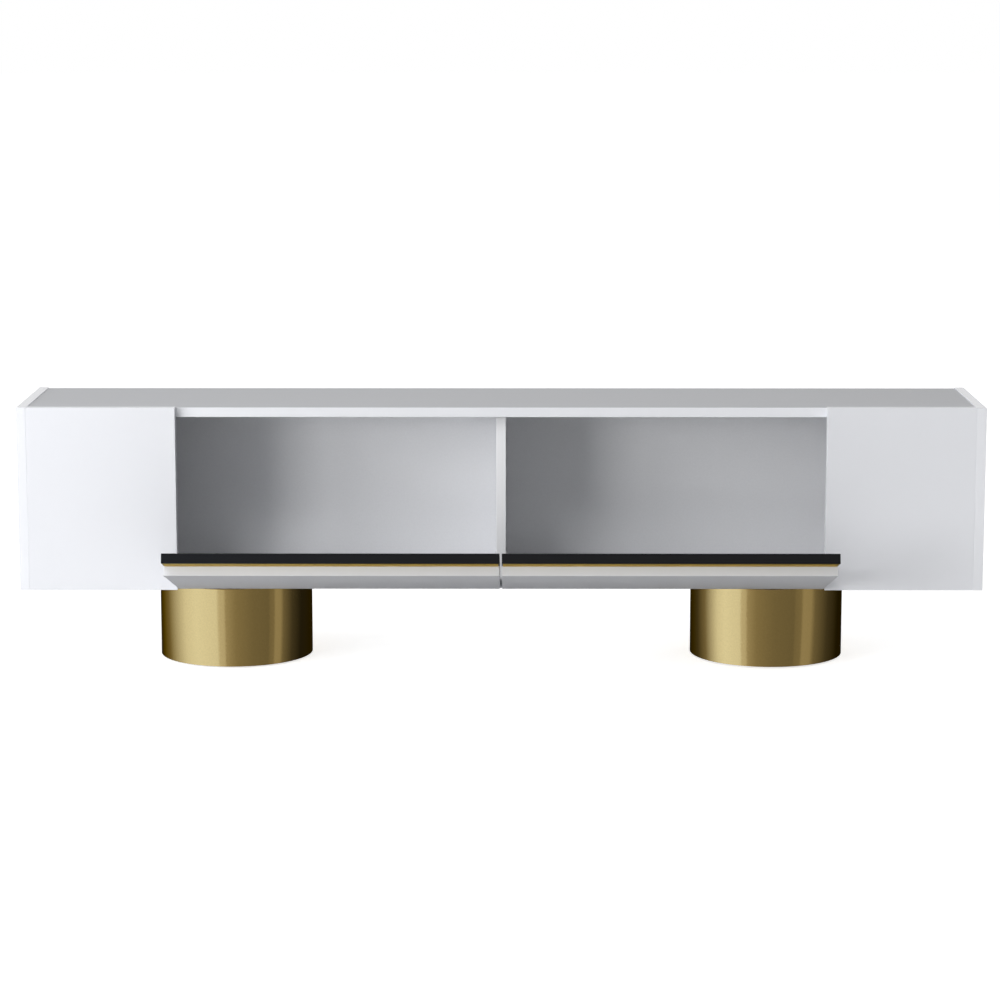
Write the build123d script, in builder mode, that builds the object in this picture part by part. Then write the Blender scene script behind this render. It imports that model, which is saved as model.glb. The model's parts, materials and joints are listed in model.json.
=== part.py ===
from build123d import *
import os
from math import cos, radians, sin, tan

os.makedirs("parts", exist_ok=True)

# A low television stand: a lacquered cabinet with two drop flaps, carried by two metal drums.
# Millimetres. X runs to the right, Y to the back, Z up from the floor. The flaps are drawn open, and
# the origin lies on the floor below the middle of the whole outline with the flaps open.

# Cabinet boards
overall_width = 1800
body_depth = 300
body_height = 344
base_height = 150
board = 18
top_lip = 2
opening_width = 1210
opening_relief = 2
edge_ease = 0.6

# Back panels and the strip that joins them
back_thickness = 4
back_setback = 12
groove_depth = 8
groove_clearance = 0.2
strip_width = 16
strip_wall = 1.2
strip_core = 2

# Flaps: a white outer board, a black inner board behind it and a metal grip strip
bare_band = 43
flap_angle = 74
flap_foot_gap = 1
flap_side_gap = 2
flap_centre_gap = 4
inner_board = 18
inner_foot_gap = 3
inner_top_gap = 4
inner_rear_gap = 2
grip_thickness = 1.2
grip_margin = 2

# Knife hinges: a leaf in each end of a flap turns on a pin and is stopped by a stud in a curved slot
leaf_thickness = 2.5
leaf_width = 14
leaf_length = 32
leaf_screw_offset = 12
leaf_screw_pitch = 11
mortise_clearance = 0.1
pin_diameter = 4
pin_clearance = 0.05
pin_proud = 1.5
stud_diameter = 2
stud_offset = 4.6
stud_clearance = 0.15
stud_proud = 0.5
pocket_clearance = 0.4
web_thickness = 2.4
flange_length = 44
flange_pitch = 30

# Magnet catches on the divider
catch_width = 14
catch_depth = 22
catch_height = 42
catch_rise = 2.5
housing_height = 24
lug_thickness = 3
lug_screw_inset = 4.5
pole_thickness = 1.6
pole_height = 18
pole_depth = 12
pole_pitch = 5
pole_proud = 0.7
strike_thickness = 1.5
strike_width = 12
catch_gap = 0.3

# Drums
drum_diameter = 290
drum_wall = 1.5
drum_inset = 247
drum_disc = 18
disc_clearance = 0.2
drum_floor_gap = 2
drum_screw_margin = 35
drum_screw_count = 3
first_screw_angle = 90
access_diameter = 14
glide_size = 30
glide_height = 5

# Fasteners. They and their holes are out of sight, so they are drawn with few sides
fastener_sides = 6
fastener_clearance = 0.1
sink_angle = 90
cam_diameter = 15
cam_rise = 3.5
cam_reach = 24
cam_margin = 60
slot_length = 8
slot_width = 1.6
slot_depth = 2
bolt_diameter = 6
bolt_head_length = 6
thread_diameter = 5
thread_length = 11
dowel_diameter = 8
dowel_face_depth = 11
dowel_edge_depth = 18
dowel_pitch = 32
small_screw_diameter = 3
small_screw_head = 5.6
hinge_screw_length = 14
catch_screw_bite = 7
drum_screw_diameter = 4.5
drum_screw_head = 9
drum_screw_bite = 12

# Levels
body_top = base_height + body_height
top_face = body_top - top_lip
top_under = top_face - board
shelf_face = base_height + board
top_level = top_under + board / 2
shelf_level = base_height + board / 2

# Widths from the middle
half_width = overall_width / 2
side_inner = half_width - board
half_opening = opening_width / 2
front_width = side_inner - half_opening
front_middle = half_opening + front_width / 2
flap_outer = half_opening - flap_side_gap
flap_inner = flap_centre_gap / 2
flap_width = flap_outer - flap_inner
flap_middle = (flap_outer + flap_inner) / 2

# Flap section, measured from the pivot: the pivot lies in the middle of the outer board's lower edge
pivot_inset = board / 2
pivot_z = base_height + flap_foot_gap + pivot_inset
inner_foot = shelf_face + inner_foot_gap - pivot_z
inner_top = top_under - inner_top_gap - pivot_z
flap_top = inner_top - bare_band

# Depths. The cabinet stands so that the open flaps and its back reach equally far from the origin
lean = radians(flap_angle)
eased_off = edge_ease * min(sin(lean), cos(lean))
flap_reach = inner_top * sin(lean) - pivot_inset * cos(lean) - pivot_inset - eased_off
front = (flap_reach - body_depth) / 2
rear = front + body_depth
carcass_front = front + board
shelf_front = carcass_front + opening_relief
divider_front = carcass_front + inner_board + inner_rear_gap
back_rear = rear - back_setback
back_front = back_rear - back_thickness
groove_rear = back_rear + groove_clearance
groove_front = back_front - groove_clearance
divider_rear = groove_front - strip_wall
body_middle = front + body_depth / 2
pivot_y = front + pivot_inset

# Planes of the right-hand flap: along its lower edge, across its section and at its outer end
flap_plane = Plane(origin=(0, pivot_y, pivot_z), x_dir=(1, 0, 0), z_dir=(0, -sin(lean), cos(lean)))
flap_section = Plane(
    origin=(flap_inner, pivot_y, pivot_z), x_dir=flap_plane.y_dir, z_dir=flap_plane.x_dir
)
flap_end = flap_section.offset(flap_width)
flap_mirror = Plane.YZ.offset(flap_middle)
plate_plane = Plane(origin=(half_opening, pivot_y, pivot_z), x_dir=(0, -1, 0), z_dir=(-1, 0, 0))
flange_plane = Plane(origin=(0, shelf_front, pivot_z), x_dir=(1, 0, 0), z_dir=(0, -1, 0))
web_plane = Plane(origin=(0, pivot_y, pivot_z), x_dir=(0, 1, 0), z_dir=(1, 0, 0))

# Hinge and catch places
leaf_screw_points = [(0, leaf_screw_offset), (0, leaf_screw_offset + leaf_screw_pitch)]
pin_reach = leaf_thickness + pin_proud
stud_reach = leaf_thickness + stud_proud
pocket_radius = stud_offset + stud_diameter / 2 + pocket_clearance
stop_travel = CenterArc((0, 0), stud_offset, 90 - flap_angle, flap_angle)
pole_front = carcass_front + inner_board + strike_thickness + catch_gap
catch_front = pole_front + pole_proud
catch_level = shelf_face + catch_rise + catch_height / 2
catch_centre = board / 2 + lug_thickness + (catch_width - lug_thickness) / 2
catch_plane = Plane(origin=(board / 2, catch_front, catch_level), x_dir=(1, 0, 0), z_dir=(0, -1, 0))
lug_plane = Plane(
    origin=(board / 2 + lug_thickness, catch_front + catch_depth / 2, catch_level),
    x_dir=(0, 1, 0),
    z_dir=(1, 0, 0),
)
strike_plane = Plane(
    origin=flap_plane.from_local_coords(
        (catch_centre, pivot_inset + inner_board + strike_thickness, catch_level - pivot_z)
    ),
    x_dir=(1, 0, 0),
    z_dir=flap_plane.y_dir,
)
lug_screw_rise = catch_height / 2 - lug_screw_inset

# Drum places
drum_x = half_width - drum_inset - drum_diameter / 2
disc_radius = drum_diameter / 2 - drum_wall - disc_clearance
top_disc_under = base_height - drum_disc
drum_feet = [(-drum_x, body_middle), (drum_x, body_middle)]
drum_screw_radius = drum_diameter / 2 - drum_screw_margin

# Fastener sizes that follow from the boards
cam_height = board / 2 + cam_rise
drum_screw_length = drum_disc + drum_screw_bite
catch_screw_length = lug_thickness + catch_screw_bite
strike_screw_length = strike_thickness + catch_screw_bite


def panel_joints(level):
    """Bolt axes of a level panel: at its edge, pointing into the side or front that it meets."""
    rows = (carcass_front + cam_margin, back_front - cam_margin)
    ends = [Plane((side * side_inner, y, level), z_dir=(side, 0, 0)) for side in (-1, 1) for y in rows]
    fronts = [Plane((side * front_middle, carcass_front, level), z_dir=(0, -1, 0)) for side in (-1, 1)]
    return ends + fronts


def panel_dowels(level):
    """Dowel axes of a level panel, midway between the end bolts and beside the front bolts."""
    midway = (carcass_front + back_front) / 2
    places = (front_middle - dowel_pitch, front_middle + dowel_pitch)
    ends = [Plane((side * side_inner, midway, level), z_dir=(side, 0, 0)) for side in (-1, 1)]
    fronts = [Plane((side * x, carcass_front, level), z_dir=(0, -1, 0)) for side in (-1, 1) for x in places]
    return ends + fronts


def divider_dowels(level, upward):
    """Dowel axes at an end of the divider, pointing into the panel that it meets."""
    rows = (divider_front + cam_margin, divider_rear - cam_margin)
    return [Plane((0, y, level), z_dir=(0, 0, upward)) for y in rows]


def cam_seat(axis):
    """Where the cam of a bolt sits in the panel's underside, its slot towards the bolt."""
    centre = axis.origin - axis.z_dir * cam_reach - Vector(0, 0, board / 2)
    return Plane(centre, x_dir=axis.z_dir, z_dir=(0, 0, -1))


top_joints = panel_joints(top_level)
shelf_joints = panel_joints(shelf_level)
top_dowels = panel_dowels(top_level)
shelf_dowels = panel_dowels(shelf_level)
top_divider_dowels = divider_dowels(top_under, 1)
shelf_divider_dowels = divider_dowels(shelf_face, -1)


def slab(x, y, z, mode=Mode.ADD):
    """A block between three pairs of limits."""
    with Locations((x[0], y[0], z[0])):
        Box(x[1] - x[0], y[1] - y[0], z[1] - z[0], align=(Align.MIN, Align.MIN, Align.MIN), mode=mode)


def drill(axes, diameter, depth):
    """Holes about the given axes, as deep on either side of their origins."""
    with BuildSketch(*axes) as outlines:
        RegularPolygon(diameter / 2 + fastener_clearance, fastener_sides)
    extrude(outlines.sketch, amount=depth + fastener_clearance, both=True, mode=Mode.SUBTRACT)


def drill_face(bolts, dowels):
    """Holes in the face of a board for the threads and dowels of the board that meets it."""
    drill(bolts, thread_diameter, thread_length)
    drill(dowels, dowel_diameter, dowel_face_depth)


def drill_edges(bolts, dowels):
    """Bores in the edges of a level panel, with the cams' seats in its underside."""
    drill(bolts, bolt_diameter, cam_reach)
    drill([cam_seat(axis) for axis in bolts], cam_diameter, cam_height)
    drill(dowels, dowel_diameter, dowel_edge_depth)


def leaf_outline(clearance=0):
    """Outline of a hinge leaf, round about the pivot and square at its upper end."""
    Circle(leaf_width / 2 + clearance)
    Rectangle(leaf_width + 2 * clearance, leaf_length + clearance, align=(Align.CENTER, Align.MIN))


def countersunk_screw(diameter, head_diameter, length, clearance=0):
    """A countersunk screw that points down, its head level with the origin, or room for one."""
    head_depth = (head_diameter - diameter) / 2 / tan(radians(sink_angle / 2))
    with BuildPart() as screw:
        with BuildSketch():
            RegularPolygon(head_diameter / 2 + clearance, fastener_sides)
        with BuildSketch(Plane.XY.offset(-head_depth)):
            RegularPolygon(diameter / 2 + clearance, fastener_sides)
        with BuildSketch(Plane.XY.offset(-length - clearance)):
            RegularPolygon(diameter / 2 + clearance, fastener_sides)
        loft(ruled=True)
    return screw.part


def small_screw(length, clearance=0):
    """A screw of the hinges and catches, or room for one."""
    return countersunk_screw(small_screw_diameter, small_screw_head, length, clearance)


def drum_screw(clearance=0):
    """A screw that holds a drum to the bottom panel, or room for one."""
    return countersunk_screw(drum_screw_diameter, drum_screw_head, drum_screw_length, clearance)


def place(piece, seats, mode=Mode.ADD):
    """Put a copy of a piece at each seat, or cut its room there."""
    with Locations(*seats):
        add(piece, mode=mode)


def on_plane(plane, points):
    """The points of a plane, each as a plane of its own that faces the same way."""
    return [Plane(plane.from_local_coords((x, y, 0)), z_dir=plane.z_dir) for x, y in points]


def ring(start):
    """Points spaced evenly on the circle of a drum's screws, the first at the start angle."""
    angles = [radians(start + 360 * step / drum_screw_count) for step in range(drum_screw_count)]
    return [(drum_screw_radius * cos(angle), drum_screw_radius * sin(angle)) for angle in angles]


leaf_screw_seats = on_plane(flap_end, leaf_screw_points)
plate_screw_seats = on_plane(plate_plane, leaf_screw_points)
flange_screw_seats = on_plane(flange_plane, [(-flange_pitch / 2, 0), (flange_pitch / 2, 0)])
lug_screw_seats = on_plane(lug_plane, [(0, -lug_screw_rise), (0, lug_screw_rise)])
drum_screw_points = ring(first_screw_angle)
glide_points = ring(first_screw_angle + 180 / drum_screw_count)
drum_screw_seats = [
    Plane((foot_x + x, foot_y + y, top_disc_under), z_dir=(0, 0, -1))
    for foot_x, foot_y in drum_feet
    for x, y in drum_screw_points
]


def save(piece, name):
    """Label a finished piece and write it."""
    piece.part.label = name
    export_step(piece.part, f"parts/{name}.step")


def save_pair(piece, name):
    """Write a right-hand piece and its left-hand mirror image."""
    with BuildPart() as mirrored:
        mirror(piece.part, about=Plane.YZ)
    save(piece, f"right_{name}")
    save(mirrored, f"left_{name}")


# Side panel, grooved for the back
with BuildPart() as side_panel:
    slab((side_inner, half_width), (front, rear), (base_height, body_top))
    chamfer(side_panel.edges(), edge_ease)
    slab(
        (side_inner, side_inner + groove_depth),
        (groove_front, groove_rear),
        (shelf_face - groove_depth, top_under + groove_depth),
        mode=Mode.SUBTRACT,
    )
    drill_face(top_joints + shelf_joints, top_dowels + shelf_dowels)
save_pair(side_panel, "side_panel")

# Top panel, a little lower than the sides and the fixed fronts
with BuildPart() as top_panel:
    slab((-side_inner, side_inner), (carcass_front, rear), (top_under, top_face))
    chamfer(top_panel.edges().filter_by(Axis.X), edge_ease)
    slab(
        (-side_inner, side_inner),
        (groove_front, groove_rear),
        (top_under, top_under + groove_depth),
        mode=Mode.SUBTRACT,
    )
    drill_edges(top_joints, top_dowels)
    drill(top_divider_dowels, dowel_diameter, dowel_face_depth)
save(top_panel, "top_panel")

# Bottom panel, stepped back across the opening to let the flaps turn, with a seat for the bracket
with BuildPart() as bottom_panel:
    slab((-side_inner, side_inner), (carcass_front, rear), (base_height, shelf_face))
    slab(
        (-half_opening, half_opening),
        (carcass_front, shelf_front),
        (base_height, shelf_face),
        mode=Mode.SUBTRACT,
    )
    slab(
        (-side_inner, side_inner),
        (groove_front, groove_rear),
        (shelf_face - groove_depth, shelf_face),
        mode=Mode.SUBTRACT,
    )
    with BuildSketch(flange_plane):
        Rectangle(flange_length + 2 * mortise_clearance, leaf_width + 2 * mortise_clearance)
    extrude(amount=-leaf_thickness, mode=Mode.SUBTRACT)
    place(small_screw(hinge_screw_length, fastener_clearance), flange_screw_seats, Mode.SUBTRACT)
    place(drum_screw(fastener_clearance), drum_screw_seats, Mode.SUBTRACT)
    drill_edges(shelf_joints, shelf_dowels)
    drill(shelf_divider_dowels, dowel_diameter, dowel_face_depth)
save(bottom_panel, "bottom_panel")

# Fixed front panel beside the opening, its inner edge let in for the hinge plate
with BuildPart() as front_panel:
    slab((half_opening, side_inner), (front, carcass_front), (base_height, body_top))
    chamfer(front_panel.edges(), edge_ease)
    drill_face(top_joints + shelf_joints, top_dowels + shelf_dowels)
    with BuildSketch(plate_plane):
        leaf_outline(mortise_clearance)
    extrude(amount=-leaf_thickness, mode=Mode.SUBTRACT)
    place(small_screw(hinge_screw_length, fastener_clearance), plate_screw_seats, Mode.SUBTRACT)
save_pair(front_panel, "front_panel")

# Divider between the two bays
with BuildPart() as centre_divider:
    slab((-board / 2, board / 2), (divider_front, divider_rear), (shelf_face, top_under))
    chamfer(centre_divider.edges().filter_by(Axis.Z).group_by(Axis.Y)[0], edge_ease)
    drill(top_divider_dowels + shelf_divider_dowels, dowel_diameter, dowel_edge_depth)
    place(small_screw(catch_screw_length, fastener_clearance), lug_screw_seats, Mode.SUBTRACT)
    mirror(about=Plane.YZ, mode=Mode.INTERSECT)
save(centre_divider, "centre_divider")

# Thin back panel that slides in the grooves
with BuildPart() as back_panel:
    slab(
        (strip_core / 2 + groove_clearance, side_inner + groove_depth - groove_clearance),
        (back_front, back_rear),
        (shelf_face - groove_depth + groove_clearance, top_under + groove_depth - groove_clearance),
    )
save_pair(back_panel, "back_panel")

# H-section strip that joins the two back panels behind the divider
with BuildPart() as back_joint_strip:
    with BuildSketch(Plane((0, groove_front, shelf_face))):
        Rectangle(strip_core, groove_rear - groove_front, align=(Align.CENTER, Align.MIN))
        Rectangle(strip_width, strip_wall, align=(Align.CENTER, Align.MAX))
        with Locations((0, groove_rear - groove_front)):
            Rectangle(strip_width, strip_wall, align=(Align.CENTER, Align.MIN))
    extrude(amount=top_under - shelf_face)
save(back_joint_strip, "back_joint_strip")

# Drum shell, rolled from sheet
with BuildPart() as drum_shell:
    with BuildSketch(Plane((drum_x, body_middle, drum_floor_gap))):
        Circle(drum_diameter / 2)
        Circle(drum_diameter / 2 - drum_wall, mode=Mode.SUBTRACT)
    extrude(amount=base_height - drum_floor_gap)
save_pair(drum_shell, "drum_shell")

# Disc in the top of the drum, screwed up into the bottom panel
with BuildPart() as drum_top_disc:
    with BuildSketch(Plane((drum_x, body_middle, top_disc_under))):
        Circle(disc_radius)
    extrude(amount=drum_disc)
    place(drum_screw(fastener_clearance), drum_screw_seats, Mode.SUBTRACT)
save_pair(drum_top_disc, "drum_top_disc")

# Disc in the foot of the drum, with holes to reach the screws through
with BuildPart() as drum_base_disc:
    with BuildSketch(Plane((drum_x, body_middle, glide_height))):
        Circle(disc_radius)
        with Locations(*drum_screw_points):
            RegularPolygon(access_diameter / 2, fastener_sides, mode=Mode.SUBTRACT)
    extrude(amount=drum_disc)
save_pair(drum_base_disc, "drum_base_disc")

# Glides under the drums
with BuildPart() as drum_glides:
    with BuildSketch():
        with Locations(*drum_feet):
            with Locations(*glide_points):
                Rectangle(glide_size, glide_size)
    extrude(amount=glide_height)
save(drum_glides, "drum_glides")

# Hinge plate in the fixed front, with the pin that a flap turns on and the stud that stops it
with BuildPart() as hinge_plate:
    with BuildSketch(plate_plane):
        leaf_outline()
    extrude(amount=-leaf_thickness)
    with BuildSketch(plate_plane):
        Circle(pin_diameter / 2)
    extrude(amount=flap_side_gap + pin_reach)
    with BuildSketch(plate_plane):
        with Locations((0, stud_offset)):
            Circle(stud_diameter / 2)
    extrude(amount=flap_side_gap + stud_reach)
    place(small_screw(hinge_screw_length, fastener_clearance), plate_screw_seats, Mode.SUBTRACT)
save_pair(hinge_plate, "hinge_plate")

# Bracket between the flaps, its flange let into the bottom panel's edge, with pins to both sides
with BuildPart() as centre_hinge_bracket:
    with BuildSketch(flange_plane):
        Rectangle(flange_length, leaf_width)
    extrude(amount=-leaf_thickness)
    with BuildSketch(web_plane):
        Circle(leaf_width / 2)
        Rectangle(shelf_front - pivot_y, leaf_width, align=(Align.MIN, Align.CENTER))
    extrude(amount=web_thickness / 2, both=True)
    with BuildSketch(web_plane):
        Circle(pin_diameter / 2)
    extrude(amount=flap_inner + pin_reach, both=True)
    with BuildSketch(web_plane):
        with Locations((0, stud_offset)):
            Circle(stud_diameter / 2)
    extrude(amount=flap_inner + stud_reach, both=True)
    place(small_screw(hinge_screw_length, fastener_clearance), flange_screw_seats, Mode.SUBTRACT)
save(centre_hinge_bracket, "centre_hinge_bracket")

# Catch housing on the divider's side, with lugs above and below and slots for the pole plates
with BuildPart() as catch_housing:
    with BuildSketch(catch_plane):
        Rectangle(lug_thickness, catch_height, align=(Align.MIN, Align.CENTER))
        Rectangle(catch_width, housing_height, align=(Align.MIN, Align.CENTER))
    extrude(amount=-catch_depth)
    with BuildSketch(catch_plane):
        with Locations((catch_centre - board / 2, 0)):
            with GridLocations(pole_pitch, 0, 2, 1):
                Rectangle(pole_thickness + 2 * fastener_clearance, pole_height + 2 * fastener_clearance)
    extrude(amount=-(pole_depth + fastener_clearance), mode=Mode.SUBTRACT)
    place(small_screw(catch_screw_length, fastener_clearance), lug_screw_seats, Mode.SUBTRACT)
save_pair(catch_housing, "catch_housing")

# Steel pole plates of both catches
with BuildPart() as catch_pole_plates:
    with BuildSketch(catch_plane.offset(pole_proud)):
        with Locations((catch_centre - board / 2, 0)):
            with GridLocations(pole_pitch, 0, 2, 1):
                Rectangle(pole_thickness, pole_height)
    extrude(amount=-(pole_proud + pole_depth))
    mirror(about=Plane.YZ)
save(catch_pole_plates, "catch_pole_plates")

# Room for a hinge leaf, its screws and the ends of pin and stud in the end of a flap
with BuildPart() as leaf_mortise:
    with BuildSketch(flap_end):
        leaf_outline(mortise_clearance)
    extrude(amount=-leaf_thickness)
    with BuildSketch(flap_end):
        RegularPolygon(pocket_radius, fastener_sides, major_radius=False)
    extrude(amount=-(pin_reach + pocket_clearance))
    place(small_screw(hinge_screw_length, fastener_clearance), leaf_screw_seats)

# Outer board of a flap, its lower edge rounded about the pivot
with BuildPart() as flap_panel:
    with BuildSketch(flap_section):
        Circle(pivot_inset)
        Rectangle(board, flap_top, align=(Align.CENTER, Align.MIN))
    extrude(amount=flap_width)
    chamfer(flap_panel.faces().sort_by(Axis(flap_plane.origin, flap_plane.z_dir))[-1].edges(), edge_ease)
    add(leaf_mortise.part, mode=Mode.SUBTRACT)
    mirror(leaf_mortise.part, about=flap_mirror, mode=Mode.SUBTRACT)
save_pair(flap_panel, "flap_panel")

# Inner board of a flap, whose free edge stands past the outer board
with BuildPart() as flap_inner_panel:
    with BuildSketch(flap_section):
        with Locations((pivot_inset, inner_foot)):
            Rectangle(inner_board, inner_top - inner_foot, align=(Align.MIN, Align.MIN))
    extrude(amount=flap_width)
    chamfer(flap_inner_panel.edges(), edge_ease)
    place(small_screw(strike_screw_length, fastener_clearance), [strike_plane], Mode.SUBTRACT)
save_pair(flap_inner_panel, "flap_inner_panel")

# Metal strip on the bare face above the outer board, where fingers take the flap
with BuildPart() as flap_gold_strip:
    with BuildSketch(flap_section.offset(grip_margin)):
        with Locations((pivot_inset, flap_top)):
            Rectangle(grip_thickness, inner_top - grip_margin - flap_top, align=(Align.MAX, Align.MIN))
    extrude(amount=flap_width - 2 * grip_margin)
save_pair(flap_gold_strip, "flap_gold_strip")

# Hinge leaf in the outer end of a flap and its twin in the inner end
with BuildPart() as flap_outer_leaf:
    with BuildSketch(flap_end):
        leaf_outline()
        Circle(pin_diameter / 2 + pin_clearance, mode=Mode.SUBTRACT)
        SlotArc(stop_travel, stud_diameter + 2 * stud_clearance, mode=Mode.SUBTRACT)
    extrude(amount=-leaf_thickness)
    place(small_screw(hinge_screw_length, fastener_clearance), leaf_screw_seats, Mode.SUBTRACT)
save_pair(flap_outer_leaf, "flap_outer_leaf")

with BuildPart() as flap_inner_leaf:
    mirror(flap_outer_leaf.part, about=flap_mirror)
save_pair(flap_inner_leaf, "flap_inner_leaf")

# Strike plate that meets the catch
with BuildPart() as flap_strike_plate:
    with BuildSketch(strike_plane):
        Rectangle(strike_width, housing_height)
    extrude(amount=-strike_thickness)
    place(small_screw(strike_screw_length, fastener_clearance), [strike_plane], Mode.SUBTRACT)
save_pair(flap_strike_plate, "flap_strike_plate")

# Screws of the hinges, catches and drums
with BuildPart() as flap_screws:
    place(small_screw(hinge_screw_length), leaf_screw_seats)
    mirror(about=flap_mirror)
    place(small_screw(strike_screw_length), [strike_plane])
save_pair(flap_screws, "flap_screws")

with BuildPart() as carcass_hinge_screws:
    place(small_screw(hinge_screw_length), plate_screw_seats)
    mirror(about=Plane.YZ)
    place(small_screw(hinge_screw_length), flange_screw_seats)
save(carcass_hinge_screws, "carcass_hinge_screws")

with BuildPart() as catch_screws:
    place(small_screw(catch_screw_length), lug_screw_seats)
    mirror(about=Plane.YZ)
save(catch_screws, "catch_screws")

with BuildPart() as drum_screws:
    place(drum_screw(), drum_screw_seats)
save(drum_screws, "drum_screws")

# Cam locks, each open on the side of its bolt, with a slot for the screwdriver
with BuildPart() as cam_lock:
    with BuildSketch():
        RegularPolygon(cam_diameter / 2, fastener_sides)
    extrude(amount=-cam_height)
    with BuildSketch(Plane.XY.offset(-(board - bolt_diameter) / 2 + fastener_clearance)):
        with Locations((-bolt_head_length / 2 - fastener_clearance, 0)):
            Rectangle(
                cam_diameter, bolt_diameter + 2 * fastener_clearance, align=(Align.MIN, Align.CENTER)
            )
    extrude(amount=-cam_height, mode=Mode.SUBTRACT)
    with BuildSketch():
        Rectangle(slot_width, slot_length)
    extrude(amount=-slot_depth, mode=Mode.SUBTRACT)

with BuildPart() as cam_locks:
    place(cam_lock.part, [cam_seat(axis) for axis in top_joints + shelf_joints])
save(cam_locks, "cam_locks")

# Cam bolts, threaded into the faces of sides and fronts, their heads in the cams
with BuildPart() as cam_bolt:
    with BuildSketch(Plane.XY.offset(-cam_reach - bolt_head_length / 2)):
        RegularPolygon(bolt_diameter / 2, fastener_sides)
    extrude(amount=cam_reach + bolt_head_length / 2)
    with BuildSketch():
        RegularPolygon(thread_diameter / 2, fastener_sides)
    extrude(amount=thread_length)

with BuildPart() as cam_bolts:
    place(cam_bolt.part, top_joints + shelf_joints)
save(cam_bolts, "cam_bolts")

# Dowels that keep the boards in line
with BuildPart() as wood_dowel:
    with BuildSketch(Plane.XY.offset(-dowel_edge_depth)):
        RegularPolygon(dowel_diameter / 2, fastener_sides)
    extrude(amount=dowel_edge_depth + dowel_face_depth)

with BuildPart() as wood_dowels:
    place(wood_dowel.part, top_dowels + shelf_dowels + top_divider_dowels + shelf_divider_dowels)
save(wood_dowels, "wood_dowels")
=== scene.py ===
# %% [markdown]
# # A white television stand on two brass drums
# The real stand is a long, low box of lacquered board. Two flaps in its middle hang open, and two
# short brass-coloured drums carry it. The CAD model already gives each board, hinge and screw its
# place, so this lesson loads that model as a fixed frame, and then gives it finishes and finer parts.

import json
import math

import bpy
import numpy as np
from mathutils import Matrix, Vector

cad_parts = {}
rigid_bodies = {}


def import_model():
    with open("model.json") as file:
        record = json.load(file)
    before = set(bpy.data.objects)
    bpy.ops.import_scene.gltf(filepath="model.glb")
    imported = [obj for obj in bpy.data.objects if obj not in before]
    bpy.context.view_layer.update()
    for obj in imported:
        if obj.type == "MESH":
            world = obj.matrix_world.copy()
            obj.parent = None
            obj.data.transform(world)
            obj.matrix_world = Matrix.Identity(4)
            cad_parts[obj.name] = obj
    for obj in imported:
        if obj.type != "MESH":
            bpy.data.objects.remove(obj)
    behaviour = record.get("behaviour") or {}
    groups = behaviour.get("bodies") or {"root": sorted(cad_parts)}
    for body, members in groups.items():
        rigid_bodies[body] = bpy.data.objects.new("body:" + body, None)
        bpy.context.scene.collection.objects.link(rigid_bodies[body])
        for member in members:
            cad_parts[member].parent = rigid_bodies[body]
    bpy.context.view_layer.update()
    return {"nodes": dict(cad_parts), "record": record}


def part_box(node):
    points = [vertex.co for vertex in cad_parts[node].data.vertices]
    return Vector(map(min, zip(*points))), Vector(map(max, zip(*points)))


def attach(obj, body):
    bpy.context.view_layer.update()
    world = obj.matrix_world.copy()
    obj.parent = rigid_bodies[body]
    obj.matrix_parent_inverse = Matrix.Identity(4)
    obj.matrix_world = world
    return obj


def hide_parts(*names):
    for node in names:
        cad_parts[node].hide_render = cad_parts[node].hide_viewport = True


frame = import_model()
slot_of = {part["node"]: part["material_slot"] for part in frame["record"]["subparts"]}
mm = 0.001

# %% [markdown]
# ## Tools for finishes
# Every finish here is painted by nodes round one shader. Each one needs the same few things: a new
# material, a wire from a node to one of the shader's sockets, plain values on other sockets, and a
# darker shade of a colour. They could be written out in each material, but small helpers keep the
# wiring the same everywhere.

# %% Finish helpers
def new_finish(name):
    finish = bpy.data.materials.new(name)
    finish.use_nodes = True
    return finish


def shader_of(finish):
    return finish.node_tree.nodes["Principled BSDF"]


def wire(finish, output, input_name):
    finish.node_tree.links.new(output, shader_of(finish).inputs[input_name])


def set_plain(finish, **values):
    for name, value in values.items():
        shader_of(finish).inputs[name.replace("_", " ")].default_value = value


def shade(colour, factor):
    return tuple(channel * factor for channel in colour)


print("half of white:", shade((1, 1, 1), 0.5))

# %% [markdown]
# ## Noise in a finish
# No surface is perfectly even, so each finish takes cloudy noise at a given scale and turns it into a
# colour, a roughness or a fine relief. Most of the noise lies in the middle of its range, and that
# middle is stretched to the full swing. The noise reads Object coordinates, because all pieces share
# one frame in metres, so a scale of 500 means about 500 clouds in a metre.

# %% Noise helpers
noise_low = 0.3
noise_high = 0.7


def clouds(finish, scale, detail=2.0, stretch=(1, 1, 1)):
    tree = finish.node_tree
    place = tree.nodes.new("ShaderNodeTexCoord")
    mapping = tree.nodes.new("ShaderNodeMapping")
    mapping.inputs["Scale"].default_value = stretch
    noise = tree.nodes.new("ShaderNodeTexNoise")
    noise.inputs["Scale"].default_value = scale
    noise.inputs["Detail"].default_value = detail
    tree.links.new(place.outputs["Object"], mapping.inputs["Vector"])
    tree.links.new(mapping.outputs["Vector"], noise.inputs["Vector"])
    return noise.outputs["Fac"]


def spread(finish, value, low, high):
    tree = finish.node_tree
    node = tree.nodes.new("ShaderNodeMapRange")
    node.inputs["From Min"].default_value = noise_low
    node.inputs["From Max"].default_value = noise_high
    node.inputs["To Min"].default_value = low
    node.inputs["To Max"].default_value = high
    tree.links.new(value, node.inputs["Value"])
    return node.outputs["Result"]


def tint(finish, value, dark, light):
    tree = finish.node_tree
    node = tree.nodes.new("ShaderNodeValToRGB")
    node.color_ramp.elements[0].position = noise_low
    node.color_ramp.elements[0].color = (*dark, 1)
    node.color_ramp.elements[1].position = noise_high
    node.color_ramp.elements[1].color = (*light, 1)
    tree.links.new(value, node.inputs["Fac"])
    return node.outputs["Color"]


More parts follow.
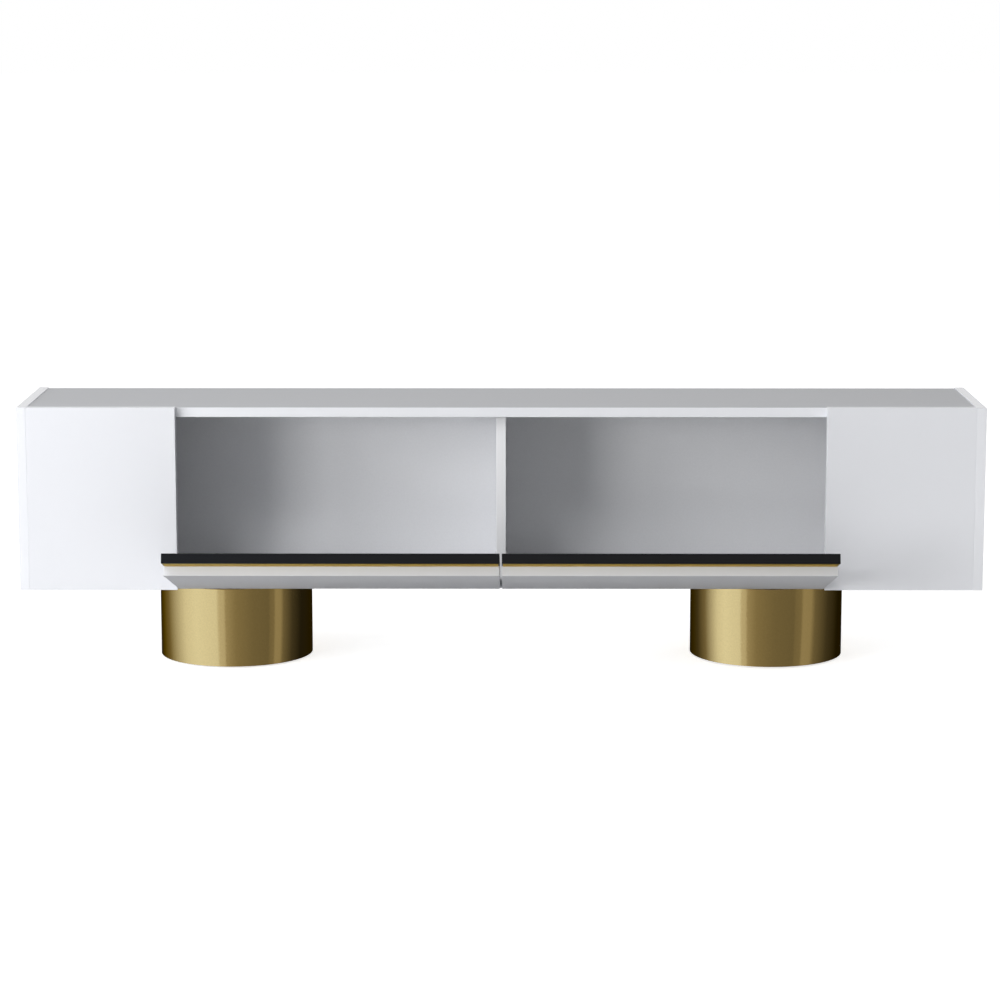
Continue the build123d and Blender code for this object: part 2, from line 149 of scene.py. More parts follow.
def relief(finish, value, height, strength):
    tree = finish.node_tree
    node = tree.nodes.new("ShaderNodeBump")
    node.inputs["Strength"].default_value = strength
    node.inputs["Distance"].default_value = height
    tree.links.new(value, node.inputs["Height"])
    wire(finish, node.outputs["Normal"], "Normal")


print("noise is stretched from", noise_low, "to", noise_high)

# %% [markdown]
# ## Sprayed lacquer
# The boards are fibreboard, sprayed white. Such a coat is never a perfect sheet: it dries with a
# faint ripple called orange peel, its gloss changes a little with that ripple, and the white itself
# drifts by a percent or two across a long board. One function sprays every coat, so the white of the
# fronts, the brighter sides, the duller top and the black inner boards differ only in numbers. The
# divider gets a brighter white still, which is painted light: it makes up for the light that the
# rail above and the open flaps below keep from its front edge.

# %% Lacquers
peel_scale = 420
peel_height = 0.03 * mm
peel_strength = 0.5
peel_swing = 0.03
coat_roughness = 0.12
drift_scale = 1.7
white_drift = 0.02


def sprayed(finish, colour, drift):
    return tint(finish, clouds(finish, drift_scale), shade(colour, 1 - drift), colour)


def lacquer(name, colour, roughness, specular, coat, drift=white_drift):
    finish = new_finish(name)
    wire(finish, sprayed(finish, colour, drift), "Base Color")
    peel = clouds(finish, peel_scale, detail=1.0)
    wire(finish, spread(finish, peel, roughness - peel_swing, roughness + peel_swing), "Roughness")
    relief(finish, peel, peel_height, peel_strength)
    set_plain(finish, Specular_IOR_Level=specular, Coat_Weight=coat, Coat_Roughness=coat_roughness)
    return finish


front_white = lacquer("front_white", (0.79, 0.80, 0.83), roughness=0.34, specular=0.35, coat=0.08)
side_white = lacquer("side_white", (0.84, 0.85, 0.88), roughness=0.24, specular=0.45, coat=0.15)
inside_white = lacquer("inside_white", (0.80, 0.81, 0.83), roughness=0.40, specular=0.30, coat=0.05)
# Painted light: the divider's white is brighter than the fronts' to stand in for the light that the rail
# and the open flaps keep from it.
divider_white_painted_light = lacquer("divider_white_painted_light", (0.90, 0.905, 0.92), roughness=0.34, specular=0.35, coat=0.08)
top_matt = lacquer(
    "top_matt", (0.64, 0.645, 0.66), roughness=0.60, specular=0.12, coat=0.0, drift=0.015)
flap_black = lacquer(
    "flap_black", (0.010, 0.010, 0.0105), roughness=0.38, specular=0.22, coat=0.0, drift=0.25)
lacquers = (front_white, side_white, inside_white, divider_white_painted_light, top_matt, flap_black)
print("lacquers:", [finish.name for finish in lacquers])

# %% [markdown]
# ## The edge of the top
# The top is matt, but its front edge is the white rail over the opening, sprayed like the fronts. It is
# the same board, so it stays one node with one finish, and the finish tells the two apart by their
# place: what lies nearer to the front than the corner gets a white like that of the fronts.

# %% Rail of the top
corner_ease = 0.7 * mm
rail_white = (0.83, 0.84, 0.87)
rail_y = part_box("top_panel")[0][1] + corner_ease
rail_tree = top_matt.node_tree
rail_place = rail_tree.nodes.new("ShaderNodeTexCoord")
rail_axes = rail_tree.nodes.new("ShaderNodeSeparateXYZ")
behind_rail = rail_tree.nodes.new("ShaderNodeMath")
behind_rail.operation = "GREATER_THAN"
behind_rail.inputs[1].default_value = rail_y
two_whites = rail_tree.nodes.new("ShaderNodeMix")
two_whites.data_type = "RGBA"
rail_tree.links.new(rail_place.outputs["Object"], rail_axes.inputs[0])
rail_tree.links.new(rail_axes.outputs["Y"], behind_rail.inputs[0])
rail_tree.links.new(behind_rail.outputs[0], two_whites.inputs["Factor"])
matt_colour = shader_of(top_matt).inputs["Base Color"].links[0].from_socket
rail_tree.links.new(sprayed(top_matt, rail_white, white_drift), two_whites.inputs["A"])
rail_tree.links.new(matt_colour, two_whites.inputs["B"])
wire(top_matt, two_whites.outputs["Result"], "Base Color")
print("rail in front of y in mm:", round(rail_y / mm, 2))

# %% [markdown]
# ## Brass-coloured sheet
# The drums and the grip strips are thin metal with a satin gold finish. Up close the photograph shows
# no brush marks but a fine even grain, which frays the edges of each reflection a little. Brush marks
# would be noise that is stretched along the sheet; this is plain noise, three millimetres wide, in
# colour, roughness and relief alike. At a flat angle metal tends to shine white, but this plating
# stays gold, so the tint of the specular edge is set to nearly the same gold.

# %% Brass
grain_scale = 330
grain_shade = 0.94
grain_smoother = 0.03
grain_rougher = 0.04
grain_height = 0.06 * mm
grain_strength = 0.6
flat_angle_shade = 0.9


def brass_sheet(name, colour, roughness):
    finish = new_finish(name)
    grain = clouds(finish, grain_scale)
    wire(finish, tint(finish, grain, shade(colour, grain_shade), colour), "Base Color")
    swing = spread(finish, grain, roughness - grain_smoother, roughness + grain_rougher)
    wire(finish, swing, "Roughness")
    relief(finish, grain, grain_height, grain_strength)
    set_plain(finish, Metallic=1.0, Specular_Tint=(*shade(colour, flat_angle_shade), 1))
    return finish


drum_brass = brass_sheet("drum_brass", (0.75, 0.52, 0.175), roughness=0.08)
strip_brass = brass_sheet("strip_brass", (0.80, 0.605, 0.215), roughness=0.315)
print("brass:", drum_brass.name, strip_brass.name)

# %% [markdown]
# ## Boards that are left plain
# The discs inside the drums are bare fibreboard, which shows a felt of brown fibres. The thin back
# is the same board with a white film on its faces, a little duller than lacquer. The dowels are
# beech, with streaks of fine pores. All three are matt, with most of their detail in colour.

# %% Plain boards and beech
fibre_detail = 6.0
fibre_swing = 0.06
fibre_strength = 0.6
fibre_specular = 0.25
pore_scale = 300
pore_detail = 4.0
pore_stretch = (1, 1, 6)
pore_height = 0.05 * mm
pore_strength = 0.5
beech_dark = (0.48, 0.31, 0.17)
beech_light = (0.66, 0.47, 0.29)
beech_smooth = 0.6
beech_rough = 0.75


def fibreboard(name, dark, light, scale, roughness, height):
    finish = new_finish(name)
    fibres = clouds(finish, scale, fibre_detail)
    wire(finish, tint(finish, fibres, dark, light), "Base Color")
    wire(finish, spread(finish, fibres, roughness - fibre_swing, roughness + fibre_swing), "Roughness")
    relief(finish, fibres, height, fibre_strength)
    set_plain(finish, Specular_IOR_Level=fibre_specular)
    return finish


bare_board = fibreboard(
    "bare_board", (0.36, 0.24, 0.14), (0.52, 0.38, 0.25), scale=700, roughness=0.82, height=0.1 * mm)
back_film = fibreboard(
    "back_film", (0.85, 0.855, 0.87), (0.88, 0.885, 0.90), scale=260, roughness=0.5, height=0.02 * mm)

beech = new_finish("beech")
pores = clouds(beech, pore_scale, pore_detail, pore_stretch)
wire(beech, tint(beech, pores, beech_dark, beech_light), "Base Color")
wire(beech, spread(beech, pores, beech_smooth, beech_rough), "Roughness")
relief(beech, pores, pore_height, pore_strength)
print("plain boards:", bare_board.name, back_film.name, beech.name)

# %% [markdown]
# ## Fittings
# Hinges, screws, cams and catch plates are zinc-plated steel: grey with a slight blue and yellow
# bloom. The catch housings and the strip in the back are moulded white plastic with a fine sandy
# skin, and the glides are black nylon with a coarser one.

# %% Steel and plastics
bloom_scale = 110
bloom_detail = 3.0
grit_scale = 1500
grit_height = 0.01 * mm
grit_strength = 0.3
zinc_blue = (0.52, 0.54, 0.57)
zinc_yellow = (0.64, 0.63, 0.59)
zinc_smooth = 0.30
zinc_rough = 0.42
sand_shade = 0.93
sand_swing = 0.05
sand_strength = 0.5

zinc = new_finish("zinc")
bloom = clouds(zinc, bloom_scale, bloom_detail)
wire(zinc, tint(zinc, bloom, zinc_blue, zinc_yellow), "Base Color")
wire(zinc, spread(zinc, bloom, zinc_smooth, zinc_rough), "Roughness")
relief(zinc, clouds(zinc, grit_scale, detail=1.0), grit_height, grit_strength)
set_plain(zinc, Metallic=1.0)


def moulded(name, colour, roughness, scale, height):
    finish = new_finish(name)
    sand = clouds(finish, scale)
    wire(finish, tint(finish, sand, shade(colour, sand_shade), colour), "Base Color")
    wire(finish, spread(finish, sand, roughness - sand_swing, roughness + sand_swing), "Roughness")
    relief(finish, sand, height, sand_strength)
    return finish


white_plastic = moulded("white_plastic", (0.80, 0.80, 0.81), roughness=0.45, scale=1400, height=0.02 * mm)
black_nylon = moulded("black_nylon", (0.035, 0.035, 0.037), roughness=0.55, scale=900, height=0.05 * mm)
print("fittings:", zinc.name, white_plastic.name, black_nylon.name)

# %% [markdown]
# ## Dressing the CAD nodes
# Boards, hinges and plates already have the right shape in the CAD model, so they stay, and only
# their material slots change. The record names a slot for each node, which picks its finish. The
# white boards differ among themselves: the sides are a little brighter than the fronts, and the
# divider is the brightest, which is painted light for the light that the rail and the open flaps keep
# from it. The bottom, and the bracket between the flaps, which is painted to match it, have the white
# of the inside.

# %% Finishes by slot
finish_of_slot = {
    "white_lacquer": front_white,
    "matt_top": top_matt,
    "black_lacquer": flap_black,
    "back_board": back_film,
    "raw_board": bare_board,
    "beech": beech,
    "brass": drum_brass,
    "steel": zinc,
    "white_plastic": white_plastic,
    "glide_nylon": black_nylon,
}
finish_of_node = {
    "left_side_panel": side_white,
    "right_side_panel": side_white,
    # painted light: a brighter white on the divider stands in for the light it misses behind the flaps
    "centre_divider": divider_white_painted_light,
    "bottom_panel": inside_white,
    "centre_hinge_bracket": inside_white,
}

for name, node in frame["nodes"].items():
    finish = finish_of_node.get(name, finish_of_slot[slot_of[name]])
    for slot in node.material_slots:
        slot.material = finish
print("dressed nodes:", len(frame["nodes"]))

# %% [markdown]
# ## Tools for modelling
# The finer parts are modelled with the tools of the Blender window. Most of these work on the piece
# that is selected, so helpers give a piece its finish, select it alone, apply its modifiers, round its
# sharp edges with a bevel, and shade its curved faces smooth while its corners stay crisp. The last two
# ask what a sharp edge is, and share one angle.

# %% Modelling helpers
sharp_angle = math.radians(40)
ease_segments = 3


def dress(piece, finish):
    piece.data.materials.clear()
    piece.data.materials.append(finish)


def select_only(piece):
    bpy.ops.object.select_all(action="DESELECT")
    piece.select_set(True)
    bpy.context.view_layer.objects.active = piece


def apply_modifiers(piece):
    select_only(piece)
    for name in [modifier.name for modifier in piece.modifiers]:
        bpy.ops.object.modifier_apply(modifier=name)


def ease_edges(piece, width):
    select_only(piece)
    bpy.ops.object.modifier_add(type="BEVEL")
    bevel = piece.modifiers[-1]
    bevel.width = width
    bevel.segments = ease_segments
    bevel.limit_method = "ANGLE"
    bevel.angle_limit = sharp_angle
    bevel.harden_normals = False


def smooth(piece):
    select_only(piece)
    bpy.ops.object.shade_smooth_by_angle(angle=sharp_angle)


print("sharp from degrees:", round(math.degrees(sharp_angle)))

# %% [markdown]
# ## Drum shells
# Each drum is a strip of sheet rolled into a ring. The CAD ring has few facets, which would show as
# flats in a polished surface. A finer ring could be lofted or spun. Here a cylinder without ends is
# added at the CAD node's size, Solidify gives it the wall of the sheet, and Bevel breaks its rims,
# because a cut edge of sheet that people touch is always rounded.

# %% Drum shells
drum_segments = 256
sheet_wall = 1.5 * mm
rim_ease = 0.5 * mm


def roll_drum(node, name):
    low, high = (Vector(corner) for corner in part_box(node))
    bpy.ops.object.select_all(action="DESELECT")
    bpy.ops.mesh.primitive_cylinder_add(
        vertices=drum_segments, radius=(high.x - low.x) / 2, depth=high.z - low.z,
        end_fill_type="NOTHING", location=(low + high) / 2)
    drum = bpy.context.active_object
    drum.name = name
    bpy.ops.object.transform_apply(location=True)
    bpy.ops.object.modifier_add(type="SOLIDIFY")
    drum.modifiers[-1].thickness = sheet_wall
    drum.modifiers[-1].offset = -1
    drum.modifiers[-1].use_even_offset = True
    ease_edges(drum, rim_ease)
    apply_modifiers(drum)
    smooth(drum)
    dress(drum, drum_brass)
    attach(drum, "cabinet")
    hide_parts(node)
    return drum


for side in ("left", "right"):
    drum = roll_drum(f"{side}_drum_shell", f"{side}_drum_sheet")
    print(drum.name, "triangles:", sum(len(face.vertices) - 2 for face in drum.data.polygons))

# %% [markdown]
# ## Small parts with broken edges
# Grip strips, catch housings and glides are small blocks whose CAD shape is right but knife-sharp.
# Sharp edges catch no light. A copy of each mesh has its doubles merged and its flat faces joined
# again, and then a bevel rounds what is left, which is quicker than modelling each block anew.

# %% Eased copies
double_gap = 0.001 * mm
flat_angle = math.radians(1)
strip_ease = 0.35 * mm
housing_ease = 0.5 * mm
glide_ease = 1.2 * mm


def eased_copy(node, name, finish, width, body):
    piece = bpy.data.objects.new(name, frame["nodes"][node].data.copy())
    bpy.context.collection.objects.link(piece)
    select_only(piece)
    bpy.ops.object.mode_set(mode="EDIT")
    bpy.ops.mesh.select_all(action="SELECT")
    bpy.ops.mesh.remove_doubles(threshold=double_gap)
    bpy.ops.mesh.dissolve_limited(angle_limit=flat_angle)
    bpy.ops.object.mode_set(mode="OBJECT")
    ease_edges(piece, width)
    apply_modifiers(piece)
    smooth(piece)
    dress(piece, finish)
    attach(piece, body)
    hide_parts(node)
    return piece


for side in ("left", "right"):
    strip = eased_copy(
        f"{side}_flap_gold_strip", f"{side}_grip_strip", strip_brass, strip_ease, f"{side}_flap")
    housing = eased_copy(
        f"{side}_catch_housing", f"{side}_catch_body", white_plastic, housing_ease, "cabinet")
    print(strip.name, len(strip.data.polygons), housing.name, len(housing.data.polygons))
glides = eased_copy("drum_glides", "floor_glides", black_nylon, glide_ease, "cabinet")
print(glides.name, len(glides.data.polygons))

# %% [markdown]
# ## Finding each fastener
# Some CAD nodes hold several screws or cams. Their places aren't written in the record, but the mesh
# shows them: points that share triangles belong to one solid. Sorting the triangles into such groups
# gives the points of each screw, and from these its head, its tip and its size.

# %% Solids of a node
place_digits = 6
end_slack = 0.01 * mm


def solids_of(node):
    mesh = frame["nodes"][node].data
    points = np.empty(len(mesh.vertices) * 3)
    mesh.vertices.foreach_get("co", points)
    points = points.reshape(-1, 3)
    merged = np.unique(np.round(points, place_digits), axis=0, return_inverse=True)[1].reshape(-1)
    leader = list(range(merged.max() + 1))

    def head_of(index):
        while leader[index] != index:
            index = leader[index]
        return index

    for face in mesh.polygons:
        first = head_of(merged[face.vertices[0]])
        for vertex in face.vertices[1:]:
            leader[head_of(merged[vertex])] = first
    groups = {}
    for index, key in enumerate(merged):
        groups.setdefault(head_of(key), []).append(points[index])
    return [np.array(group) for group in groups.values()]


def measure_screw(points):
    middle = points.mean(axis=0)
    along = np.linalg.svd(np.unique(np.round(points, place_digits), axis=0) - middle)[2][0]
    travel = (points - middle) @ along
    reach = np.linalg.norm(points - middle - np.outer(travel, along), axis=1)
    ends = [(reach[np.abs(travel - end) < end_slack].max(), end) for end in (travel.min(), travel.max())]
    (tip_radius, tip), (head_radius, head) = sorted(ends)
    corners = points[np.abs(travel - head) < end_slack]
    centre = (corners.min(axis=0) + corners.max(axis=0)) / 2
    outward = along if head > tip else -along
    return Vector(centre), Vector(outward), head_radius, tip_radius, abs(head - tip)


for node in ("catch_screws", "drum_screws"):
    sizes = measure_screw(solids_of(node)[0])[2:]
    print(node, "head, tip and length in mm:", [round(value / mm, 2) for value in sizes])

# %% [markdown]
# ## One countersunk screw
# A real screw has a round head with a cross recess. The CAD screws are six-sided pegs, drawn so to
# keep the model light. A screw is modelled from a filled circle: extruded and narrowed to the cone
# under the head, extruded again for the shank, and narrowed to the tip. Two bars then cut the cross
# as booleans. The cross is sized as shares of the head's radius, and the tip as a share of the shank's,
# so the model suits any screw.

# %% Screw model
screw_sides = 28
head_land = 0.2 * mm
tip_share = 1.5
tip_narrowing = 0.2
cross_length = 1.15
cross_width = 0.28
cross_depth = 0.45


def extrude_and_narrow(depth, level, factor):
    bpy.ops.mesh.extrude_region_move(TRANSFORM_OT_translate={"value": (0, 0, -depth)})
    bpy.ops.transform.resize(value=(factor, factor, 1), center_override=(0, 0, level - depth))
    return level - depth


def cut_cross(piece, length, width, depth, level):
    for turn in (0, 90):
        bpy.ops.object.select_all(action="DESELECT")
        bpy.ops.mesh.primitive_cube_add(size=1, location=(0, 0, level))
        bar = bpy.context.active_object
        bar.scale = (length, width, 2 * depth)
        bar.rotation_euler.z = math.radians(turn)
        bpy.ops.object.transform_apply(location=True, rotation=True, scale=True)
        select_only(piece)
        bpy.ops.object.modifier_add(type="BOOLEAN")
        piece.modifiers[-1].operation = "DIFFERENCE"
        piece.modifiers[-1].object = bar
        apply_modifiers(piece)
        bpy.data.objects.remove(bar)


def model_screw(head_radius, shank_radius, length):
    bpy.ops.object.select_all(action="DESELECT")
    bpy.ops.mesh.primitive_circle_add(vertices=screw_sides, radius=head_radius, fill_type="NGON")
    screw = bpy.context.active_object
    bpy.ops.object.mode_set(mode="EDIT")
    bpy.ops.mesh.select_all(action="SELECT")
    tip = tip_share * shank_radius
    level = extrude_and_narrow(head_land, 0, 1)
    level = extrude_and_narrow(head_radius - shank_radius, level, shank_radius / head_radius)
    level = extrude_and_narrow(length + level - tip, level, 1)
    extrude_and_narrow(tip, level, tip_narrowing)
    bpy.ops.mesh.select_all(action="SELECT")
    bpy.ops.mesh.normals_make_consistent(inside=False)
    bpy.ops.object.mode_set(mode="OBJECT")
    cut_cross(
        screw, cross_length * head_radius, cross_width * head_radius, cross_depth * head_radius, level=0)
    return screw


print("sides of a screw:", screw_sides)

# %% [markdown]
# ## Screws in their places
# Each screw is modelled at the origin, at the size of its CAD peg, then turned so that its head looks
# outwards, and moved to its hole. All screws of one node become one piece, which rides on that node's
# body. A head stands a hair proud of its seat, so that the two faces don't flicker.

# %% Screws
head_proud = 0.08 * mm
hole_play = 0.15 * mm


def copy_to(template, matrix):
    piece = bpy.data.objects.new(template.name, template.data.copy())
    bpy.context.collection.objects.link(piece)
    piece.data.transform(matrix)
    return piece


def join_all(pieces, name):
    bpy.ops.object.select_all(action="DESELECT")
    for piece in pieces:
        piece.select_set(True)
    bpy.context.view_layer.objects.active = pieces[0]
    bpy.ops.object.join()
    joined = bpy.context.active_object
    joined.name = name
    return joined


def set_screws(node, name, body):
    copies = []
    for points in solids_of(node):
        centre, outward, head_radius, tip_radius, length = measure_screw(points)
        screw = model_screw(head_radius + hole_play, tip_radius, length)
        turn = outward.to_track_quat("Z", "Y").to_matrix().to_4x4()
        copies.append(copy_to(screw, Matrix.Translation(centre + outward * head_proud) @ turn))
        bpy.data.objects.remove(screw)
    screws = join_all(copies, name)
    smooth(screws)
    dress(screws, zinc)
    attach(screws, body)
    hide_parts(node)
    return screws


for node, name, body in (
        ("catch_screws", "catch_cross_screws", "cabinet"),
        ("carcass_hinge_screws", "hinge_cross_screws", "cabinet"),
        ("drum_screws", "drum_cross_screws", "cabinet"),
        ("left_flap_screws", "left_flap_cross_screws", "left_flap"),
        ("right_flap_screws", "right_flap_cross_screws", "right_flap")):
    screws = set_screws(node, name, body)
    print(screws.name, "faces:", len(screws.data.polygons))

# %% [markdown]
# ## Cam locks
# Flat-pack boards are drawn together by cams: round zinc castings, let into the board so that only a
# disc with a cross recess shows. Each starts as a cylinder whose lower face is inset and sunk, which
# leaves the raised rim that castings have, and the cross is cut into it. They all look down, so one
# cam is modelled at the origin and copied to each place.

# %% Cams
cam_sides = 40
cam_play = 0.15 * mm
cam_proud = 0.15 * mm
cam_rim = 0.9 * mm
cam_dish = 0.4 * mm
cam_cross_length = 0.95
cam_cross_width = 0.22
cam_cross_depth = 2 * mm


def face_looking_down(piece):
    return min(piece.data.polygons, key=lambda face: face.center.z)


def model_cam(radius, depth):
    bpy.ops.object.select_all(action="DESELECT")
    bpy.ops.mesh.primitive_cylinder_add(
        vertices=cam_sides, radius=radius, depth=depth, location=(0, 0, depth / 2))
    cam = bpy.context.active_object
    bpy.ops.object.transform_apply(location=True)
    bpy.ops.object.mode_set(mode="EDIT")
    bpy.ops.mesh.select_all(action="DESELECT")
    bpy.ops.object.mode_set(mode="OBJECT")
    face_looking_down(cam).select = True
    bpy.ops.object.mode_set(mode="EDIT")
    bpy.ops.mesh.select_mode(type="FACE")
    bpy.ops.mesh.inset(thickness=cam_rim, depth=0)
    bpy.ops.mesh.extrude_region_move(TRANSFORM_OT_translate={"value": (0, 0, cam_dish)})
    bpy.ops.object.mode_set(mode="OBJECT")
    cut_cross(
        cam, cam_cross_length * radius, cam_cross_width * radius, cam_cross_depth, level=cam_dish)
    return cam


seats = [(points.min(axis=0), points.max(axis=0)) for points in solids_of("cam_locks")]
cam_radius = max(high[0] - low[0] for low, high in seats) / 2 + cam_play
cam_depth = seats[0][1][2] - seats[0][0][2]
cam = model_cam(cam_radius, cam_depth)
copies = []
for low, high in seats:
    place = ((low[0] + high[0]) / 2, (low[1] + high[1]) / 2, low[2] - cam_proud)
    copies.append(copy_to(cam, Matrix.Translation(place)))
cams = join_all(copies, "zinc_cams")
bpy.data.objects.remove(cam)
smooth(cams)
dress(cams, zinc)
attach(cams, "cabinet")
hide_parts("cam_locks")
print("cams:", len(seats), "radius in mm:", round(cam_radius / mm, 2))

# %% [markdown]
# ## Floor
# The photograph has a pure white ground. A plain pale floor carries the shadow of the stand. Seen
# straight by the camera, it also glows, which lifts it to white without any more light on the stand,
# and in reflections the white of the room takes its place.

# %% Floor
floor_size = 80
floor_drop = 0.5 * mm
floor_grey = 0.90
floor_glow = 0.70

bpy.ops.object.select_all(action="DESELECT")
bpy.ops.mesh.primitive_plane_add(size=floor_size, location=(0, 0, -floor_drop))
floor = bpy.context.active_object
floor.name = "floor"
floor.visible_glossy = False
paper = new_finish("floor_paper")
paper_nodes, paper_links = paper.node_tree.nodes, paper.node_tree.links
paper_nodes.clear()
seen = paper_nodes.new("ShaderNodeLightPath")
pale = paper_nodes.new("ShaderNodeBsdfDiffuse")
pale.inputs["Color"].default_value = (floor_grey, floor_grey, floor_grey, 1)
glow = paper_nodes.new("ShaderNodeEmission")
glow.inputs["Strength"].default_value = floor_glow
lifted = paper_nodes.new("ShaderNodeAddShader")
either = paper_nodes.new("ShaderNodeMixShader")
paper_out = paper_nodes.new("ShaderNodeOutputMaterial")
paper_links.new(pale.outputs[0], lifted.inputs[0])
paper_links.new(glow.outputs[0], lifted.inputs[1])
paper_links.new(seen.outputs["Is Camera Ray"], either.inputs["Fac"])
paper_links.new(pale.outputs[0], either.inputs[1])
paper_links.new(lifted.outputs[0], either.inputs[2])
paper_links.new(either.outputs[0], paper_out.inputs["Surface"])
dress(floor, paper)
print("floor:", floor.name, "grey:", floor_grey)

# %% [markdown]
# ## Even light
# A white room sends some light from everywhere, which keeps the shade inside the bays open. The world
# gives that light, faintly cool. What is seen straight, in a reflection or through glass is a plain
# white world instead, because the ground of the photograph is white, however little light falls on
# the stand.

# %% World
fill_level = 0.35
fill_white = (0.985, 0.99, 1.0, 1)

studio = bpy.data.worlds.new("studio")
bpy.context.scene.world = studio
studio.use_nodes = True
sky_nodes, sky_links = studio.node_tree.nodes, studio.node_tree.links
fill = sky_nodes["Background"]
fill.inputs["Color"].default_value = fill_white
fill.inputs["Strength"].default_value = fill_level
backdrop = sky_nodes.new("ShaderNodeBackground")
backdrop.inputs["Color"].default_value = (1, 1, 1, 1)
backdrop.inputs["Strength"].default_value = 1.0
path = sky_nodes.new("ShaderNodeLightPath")
seen_or_glossy = sky_nodes.new("ShaderNodeMath")
seen_or_glossy.operation = "MAXIMUM"
any_view = sky_nodes.new("ShaderNodeMath")
any_view.operation = "MAXIMUM"
choice = sky_nodes.new("ShaderNodeMixShader")
sky_links.new(path.outputs["Is Camera Ray"], seen_or_glossy.inputs[0])
sky_links.new(path.outputs["Is Glossy Ray"], seen_or_glossy.inputs[1])
sky_links.new(seen_or_glossy.outputs[0], any_view.inputs[0])
sky_links.new(path.outputs["Is Transmission Ray"], any_view.inputs[1])
sky_links.new(any_view.outputs[0], choice.inputs["Fac"])
sky_links.new(fill.outputs[0], choice.inputs[1])
sky_links.new(backdrop.outputs[0], choice.inputs[2])
sky_links.new(choice.outputs[0], sky_nodes["World Output"].inputs["Surface"])
print("world fill:", fill_level)

# %% [markdown]
# ## Soft boxes
# The fronts are brightest at the left and fade to the right, and the shade inside the bays has soft
# edges. So the light comes from large soft boxes in front at the left: a high one, one far to the side,
# and a low one that reaches in under the top. Each lamp could be set by eye, but light adds up, so each
# was rendered alone and the strengths were fitted to the photograph. A fourth stands low behind the
# stand: it keeps the back from going grey and adds nothing to the front. Places are in metres and
# powers in watts.

# %% Lamps
lamp_target = Vector((0, 0, 0.3))


def soft_box(name, place, width, power):
    lamp = bpy.data.lights.new(name, "AREA")
    lamp.shape = "SQUARE"
    lamp.size = width
    lamp.energy = power
    holder = bpy.data.objects.new(name, lamp)
    bpy.context.collection.objects.link(holder)
    holder.location = place
    holder.rotation_euler = (lamp_target - Vector(place)).to_track_quat("-Z", "Y").to_euler()
    holder.visible_glossy = False


soft_box("high_soft_box", place=(-2.6, -4.0, 5.2), width=2.4, power=168)
soft_box("side_soft_box", place=(-8.4, -5.3, 2.2), width=2.8, power=234)
soft_box("low_soft_box", place=(-3.7, -4.4, 0.85), width=1.6, power=85)
soft_box("rear_soft_box", place=(4.6, 4.6, 0.42), width=0.8, power=190)

# %% [markdown]
# ## A cove for the brass to reflect
# Polished metal shows its surroundings. A photographer stands soft boxes and dark drapes round the
# drums to draw bands on them, and here a tall cove round the stand takes their place. Only reflections
# see it, so it neither lights the boards nor stands in the camera's view. Behind the stand it is cut
# off low, so that the top still reflects the white of the room. The drums don't mirror each other in
# the photograph, so reflections leave them and their inner parts out.

# %% Reflection cove
cove_sides = 180
cove_radius = 2.5
cove_height = 16
back_wall_y = 0.86
back_wall_top = 0.41

bpy.ops.object.select_all(action="DESELECT")
bpy.ops.mesh.primitive_cylinder_add(
    vertices=cove_sides, radius=cove_radius, depth=cove_height, end_fill_type="NOTHING")
cove = bpy.context.active_object
cove.name = "reflection_cove"
bpy.ops.object.mode_set(mode="EDIT")
bpy.ops.mesh.select_all(action="SELECT")
bpy.ops.mesh.bisect(plane_co=(0, 0, back_wall_top), plane_no=(0, 0, 1))
bpy.ops.mesh.select_all(action="DESELECT")
bpy.ops.object.mode_set(mode="OBJECT")
for face in cove.data.polygons:
    face.select = face.center.y > back_wall_y and face.center.z > back_wall_top
bpy.ops.object.mode_set(mode="EDIT")
bpy.ops.mesh.select_mode(type="FACE")
bpy.ops.mesh.delete(type="FACE")
bpy.ops.object.mode_set(mode="OBJECT")
cove.visible_camera = False
cove.visible_diffuse = False
cove.visible_shadow = False
cove.visible_transmission = False
for piece in bpy.data.objects:
    if "drum" in piece.name or piece is glides:
        piece.visible_glossy = False
print("cove faces:", len(cove.data.polygons))

# %% [markdown]
# ## The panels of the cove
# In the photograph each drum shows one broad bright band left of its middle that ends in two clear
# steps, a thin band near its right side, and dark edges. So the cove has a few panels. Each runs from
# one bearing to another, in degrees from straight in front, with a glow at both ends, and the glow
# blends from panel to panel. The brightest panels are cooler, which makes the brightest brass paler.

# %% Glow of the cove
cove_panels = {
    "left_drape": (-180, -138, 0.03, 0.07),
    "soft_box_rim": (-114, -82, 0.22, 0.86),
    "soft_box": (-66, -36, 0.95, 0.86),
    "first_step": (-34.5, -25.5, 0.66, 0.61),
    "second_step": (-24, -8, 0.42, 0.285),
    "room": (20, 49, 0.21, 0.185),
    "lamp_step": (50.5, 59.5, 0.225, 0.25),
    "thin_lamp": (61, 73, 0.375, 0.36),
    "lamp_rim": (79, 100, 0.19, 0.065),
    "right_drape": (125, 180, 0.02, 0.03),
}
cool_from = 0.3
cool_full = 0.9
cool_green = 0.2
cool_blue = 0.8


def lamp_white(level):
    cool = min(max((level - cool_from) / (cool_full - cool_from), 0), 1)
    return (level, level * (1 + cool_green * cool), level * (1 + cool_blue * cool), 1)


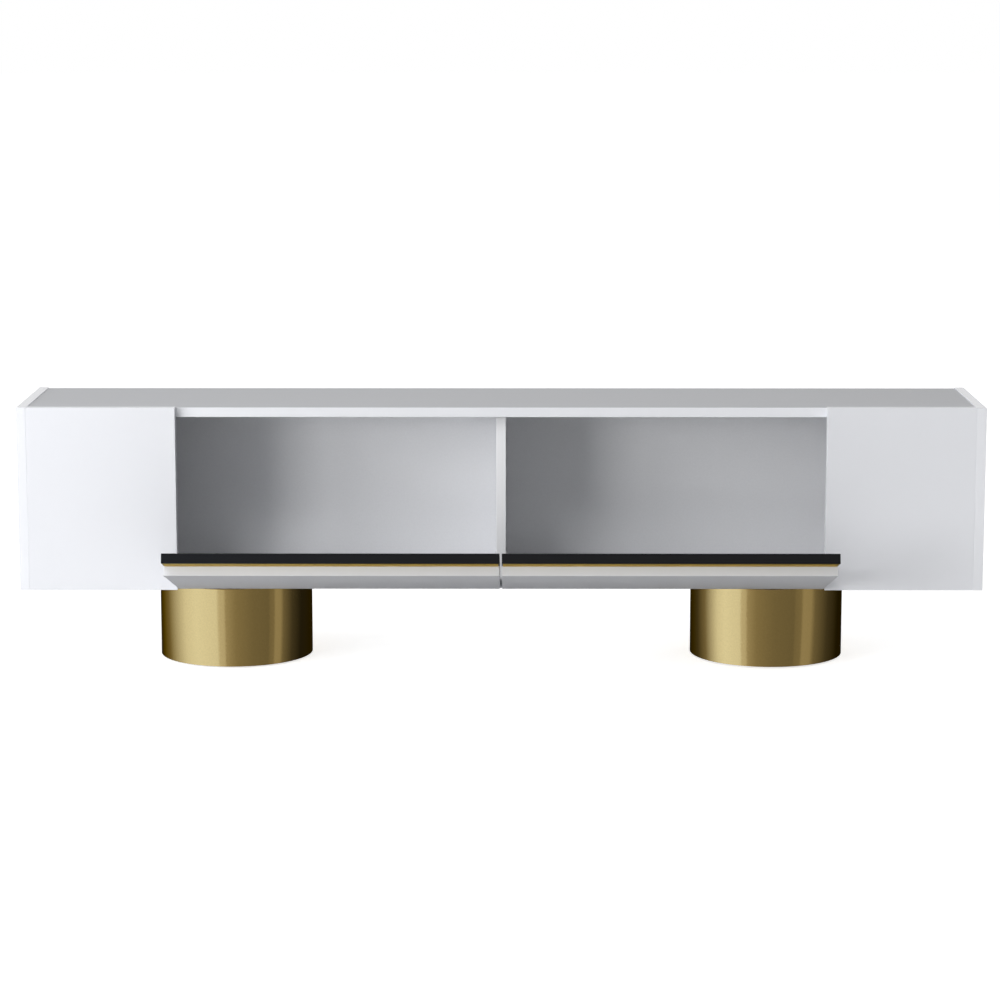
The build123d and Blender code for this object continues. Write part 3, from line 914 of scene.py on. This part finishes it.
drape = new_finish("cove_drape")
drape_nodes, drape_links = drape.node_tree.nodes, drape.node_tree.links
drape_nodes.clear()
where = drape_nodes.new("ShaderNodeTexCoord")
axes = drape_nodes.new("ShaderNodeSeparateXYZ")
toward_front = drape_nodes.new("ShaderNodeMath")
toward_front.operation = "MULTIPLY"
toward_front.inputs[1].default_value = -1
bearing = drape_nodes.new("ShaderNodeMath")
bearing.operation = "ARCTAN2"
share = drape_nodes.new("ShaderNodeMapRange")
share.inputs["From Min"].default_value = -math.pi
share.inputs["From Max"].default_value = math.pi
bands = drape_nodes.new("ShaderNodeValToRGB")
ramp = bands.color_ramp.elements
ready_stops = len(ramp)
stops = []
for start, end, start_glow, end_glow in cove_panels.values():
    stops += [(start, start_glow), (end, end_glow)]
for step, (angle, level) in enumerate(stops):
    position = (angle + 180) / 360
    stop = ramp[step] if step < ready_stops else ramp.new(position)
    stop.position = position
    stop.color = lamp_white(level)
shine = drape_nodes.new("ShaderNodeEmission")
drape_out = drape_nodes.new("ShaderNodeOutputMaterial")
drape_links.new(where.outputs["Object"], axes.inputs[0])
drape_links.new(axes.outputs["Y"], toward_front.inputs[0])
drape_links.new(axes.outputs["X"], bearing.inputs[0])
drape_links.new(toward_front.outputs[0], bearing.inputs[1])
drape_links.new(bearing.outputs[0], share.inputs["Value"])
drape_links.new(share.outputs["Result"], bands.inputs["Fac"])
drape_links.new(bands.outputs["Color"], shine.inputs["Color"])
drape_links.new(shine.outputs[0], drape_out.inputs["Surface"])
dress(cove, drape)
print("cove panels:", len(cove_panels))

# %% [markdown]
# ## Camera
# The photograph looks slightly down on the stand from almost straight ahead. The place, the tilt and the
# lens were worked out from the corners of the boards. The lens is long, and the camera is tilted instead
# of shifted, so that views from other sides keep the stand in the middle.

# %% Camera
camera_place = (0.0140, -5.687, 1.2647)
camera_tilt = math.radians(9.433)
camera_turn = math.radians(0.161)
camera_sensor = 36
camera_lens = 111.37
camera_reach = 500

bpy.ops.object.select_all(action="DESELECT")
bpy.ops.object.camera_add(location=camera_place)
camera = bpy.context.active_object
camera.rotation_euler = (math.radians(90) - camera_tilt, 0, camera_turn)
camera.data.sensor_width = camera_sensor
camera.data.lens = camera_lens
camera.data.clip_end = camera_reach
bpy.context.scene.camera = camera
bpy.context.scene.view_settings.view_transform = "Standard"
print("camera lens:", camera.data.lens)
